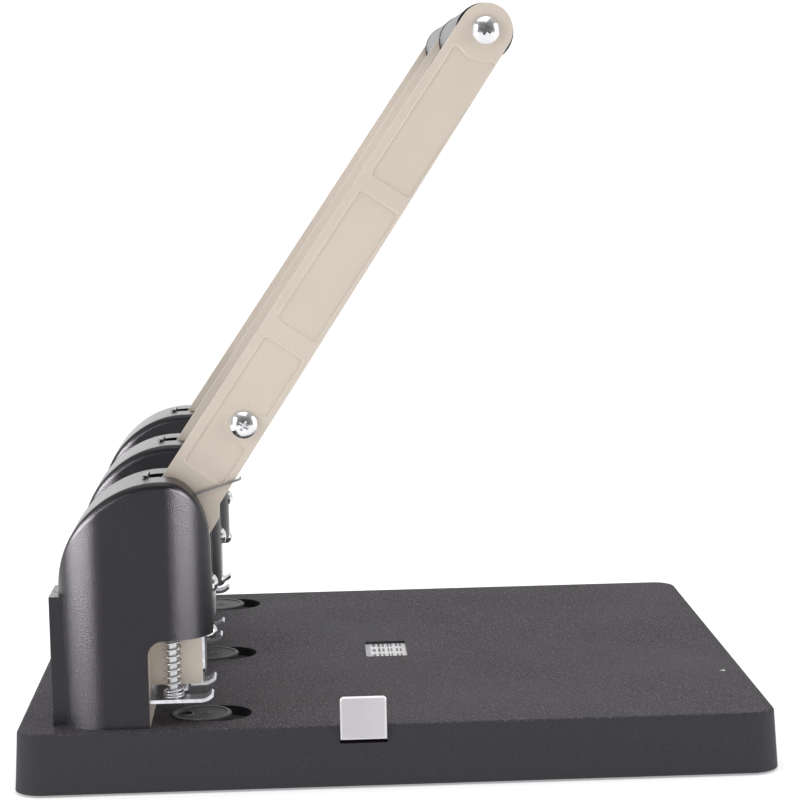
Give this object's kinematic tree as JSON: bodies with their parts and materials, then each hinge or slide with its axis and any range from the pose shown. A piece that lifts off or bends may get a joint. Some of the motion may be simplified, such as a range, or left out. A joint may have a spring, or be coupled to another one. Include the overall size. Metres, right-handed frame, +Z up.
{
  "type": "three hole punch",
  "caption": "Heavy-duty lever punch with hooded punching heads on a flat base, a sprung lever of parallel arms and a sliding paper guide.",
  "frame": {"origin": "on the table, at the middle of the base's footprint", "axes": "+Z up, +Y towards the rear with the punching heads, +X to the right of a person who stands in front of the paper side"},
  "size_m": [0.271, 0.3086, 0.3102],
  "materials": {
    "base_plastic": "fine grained black plastic",
    "cover_plastic": "satin black plastic",
    "bottom_steel": "matt black paint",
    "foot_rubber": "matt",
    "mark_white": "white inlay",
    "label_white": "printed label",
    "zinc_steel": "zinc plated",
    "guide_steel": "polished strip",
    "rod_steel": "ground",
    "spring_steel": "bright wire",
    "screw_chrome": "bright",
    "cutter_chrome": "hard chrome",
    "disc_plastic": "moulded",
    "beige_paint": "semi-gloss enamel",
    "grip_plastic": "gloss black"
  },
  "bodies": {
    "base": {"base": "base_plastic", "bottom_cover": "bottom_steel", "bottom_screws": "screw_chrome", "rubber_feet": "foot_rubber", "datum_mark": "mark_white", "guide_keepers": "zinc_steel", "keeper_screws": "screw_chrome", "cover_left": "cover_plastic", "frame_left": "beige_paint", "front_strap_left": "zinc_steel", "stripper_plate_left": "zinc_steel", "guide_rods_left": "rod_steel", "return_springs_left": "spring_steel", "guide_block_left": "zinc_steel", "cover_middle": "cover_plastic", "frame_middle": "beige_paint", "front_strap_middle": "zinc_steel", "stripper_plate_middle": "zinc_steel", "guide_rods_middle": "rod_steel", "return_springs_middle": "spring_steel", "guide_block_middle": "zinc_steel", "cover_right": "cover_plastic", "frame_right": "beige_paint", "front_strap_right": "zinc_steel", "stripper_plate_right": "zinc_steel", "guide_rods_right": "rod_steel", "return_springs_right": "spring_steel", "guide_block_right": "zinc_steel", "pivot_pins": "rod_steel", "pivot_clips": "spring_steel", "arm_spacers": "zinc_steel", "cover_screws": "screw_chrome", "frame_screws": "screw_chrome", "rear_screws": "screw_chrome"},
    "lever": {"arm_left": "beige_paint", "torsion_spring_left": "spring_steel", "arm_middle": "beige_paint", "torsion_spring_middle": "spring_steel", "arm_right": "beige_paint", "torsion_spring_right": "spring_steel", "tie_rod": "rod_steel", "tie_spacers": "zinc_steel", "grip_core": "rod_steel", "grip_left": "grip_plastic", "grip_right": "grip_plastic", "handle_screws": "screw_chrome"},
    "side_guide": {"side_guide": "guide_steel", "scale_label": "label_white"},
    "punch_left": {"crosshead_left": "zinc_steel", "cutter_left": "cutter_chrome"},
    "disc_left": {"cutting_disc_left": "disc_plastic"},
    "punch_middle": {"crosshead_middle": "zinc_steel", "cutter_middle": "cutter_chrome"},
    "disc_middle": {"cutting_disc_middle": "disc_plastic"},
    "punch_right": {"crosshead_right": "zinc_steel", "cutter_right": "cutter_chrome"},
    "disc_right": {"cutting_disc_right": "disc_plastic"}
  },
  "joints": [
    {"name": "lever_hinge", "type": "hinge", "parent": "base", "child": "lever", "pos_m": [0, 0.0985, 0.0976], "axis": [1, 0, 0], "range_deg": [0, 43], "stiffness_Nm_per_rad": 1.4, "springref_deg": -63.03, "deforming": ["torsion_spring_left", "torsion_spring_middle", "torsion_spring_right"]},
    {"name": "side_guide_slide", "type": "slide", "parent": "base", "child": "side_guide", "axis": [-1, 0, 0], "range_m": [0, 0.078]},
    {"name": "punch_left_slide", "type": "slide", "parent": "base", "child": "punch_left", "axis": [0, 0, -1], "range_m": [0, 0.00902], "deforming": ["return_springs_left"]},
    {"name": "punch_middle_slide", "type": "slide", "parent": "base", "child": "punch_middle", "axis": [0, 0, -1], "range_m": [0, 0.00902], "deforming": ["return_springs_middle"]},
    {"name": "punch_right_slide", "type": "slide", "parent": "base", "child": "punch_right", "axis": [0, 0, -1], "range_m": [0, 0.00902], "deforming": ["return_springs_right"]},
    {"name": "disc_left_turn", "type": "hinge", "parent": "base", "child": "disc_left", "pos_m": [-0.108, 0.0795, 0.0234], "axis": [0, 0, 1], "continuous": true},
    {"name": "disc_middle_turn", "type": "hinge", "parent": "base", "child": "disc_middle", "pos_m": [0, 0.0795, 0.0234], "axis": [0, 0, 1], "continuous": true},
    {"name": "disc_right_turn", "type": "hinge", "parent": "base", "child": "disc_right", "pos_m": [0.108, 0.0795, 0.0234], "axis": [0, 0, 1], "continuous": true}
  ],
  "couplings": [
    {"joint": "punch_left_slide", "follows": "lever_hinge", "m_per_rad": 0.012},
    {"joint": "punch_middle_slide", "follows": "lever_hinge", "m_per_rad": 0.012},
    {"joint": "punch_right_slide", "follows": "lever_hinge", "m_per_rad": 0.012}
  ]
}
